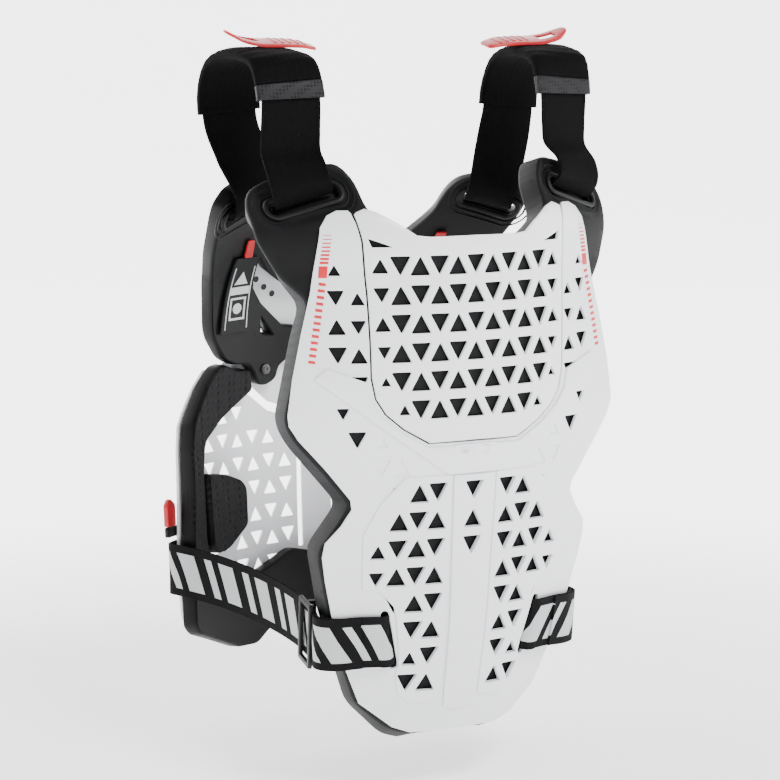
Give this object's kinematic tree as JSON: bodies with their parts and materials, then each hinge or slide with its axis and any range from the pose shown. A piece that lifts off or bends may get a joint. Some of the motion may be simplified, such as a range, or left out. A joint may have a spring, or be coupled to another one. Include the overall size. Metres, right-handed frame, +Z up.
{
  "type": "chest protector",
  "caption": "Wrap-around chest and back protector with vented hard shells over foam, webbing shoulder arches, waist straps, buckles and pull tabs.",
  "frame": {"origin": "the shoulder rest, midway between the undersides of the two shoulder arches", "axes": "+Z up, -Y the way the chest faces, +X the wearer's left"},
  "size_m": [0.3092, 0.2811, 0.5285],
  "materials": {
    "white_plastic": "cool white moulded plastic, glossy",
    "black_foam": "moulded foam with a fine dotted skin, near black",
    "black_rubber": "smooth moulded rubber, satin",
    "black_webbing": "woven webbing, matte black",
    "black_plastic": "moulded nylon, satin black",
    "red_rubber": "soft moulded rubber, red satin",
    "dark_steel": "blackened steel"
  },
  "bodies": {
    "root": {"chest_shell": "white_plastic", "chest_plate": "white_plastic", "chest_tag": "white_plastic", "chest_pad": "black_foam", "back_shell_upper": "white_plastic", "back_shell_lower": "white_plastic", "back_yoke": "black_rubber", "back_pad": "black_foam", "lumbar_pad_right": "black_foam", "brace_flap_right": "black_rubber", "brace_tab_right": "red_rubber", "pivot_screw_right": "dark_steel", "shoulder_strap_right": "black_webbing", "shoulder_sleeve_right": "black_webbing", "strap_cuff_right": "black_rubber", "front_slot_ring_right": "black_rubber", "back_slot_ring_right": "black_rubber", "shoulder_pull_tab_right": "red_rubber", "waist_strap_right": "black_webbing", "triglide_right": "black_plastic", "strap_hook_right": "black_plastic", "hook_tab_right": "red_rubber", "lumbar_pad_left": "black_foam", "brace_flap_left": "black_rubber", "brace_tab_left": "red_rubber", "pivot_screw_left": "dark_steel", "shoulder_strap_left": "black_webbing", "shoulder_sleeve_left": "black_webbing", "strap_cuff_left": "black_rubber", "front_slot_ring_left": "black_rubber", "back_slot_ring_left": "black_rubber", "shoulder_pull_tab_left": "red_rubber", "waist_strap_left": "black_webbing", "triglide_left": "black_plastic", "strap_hook_left": "black_plastic", "hook_tab_left": "red_rubber"}
  },
  "joints": []
}
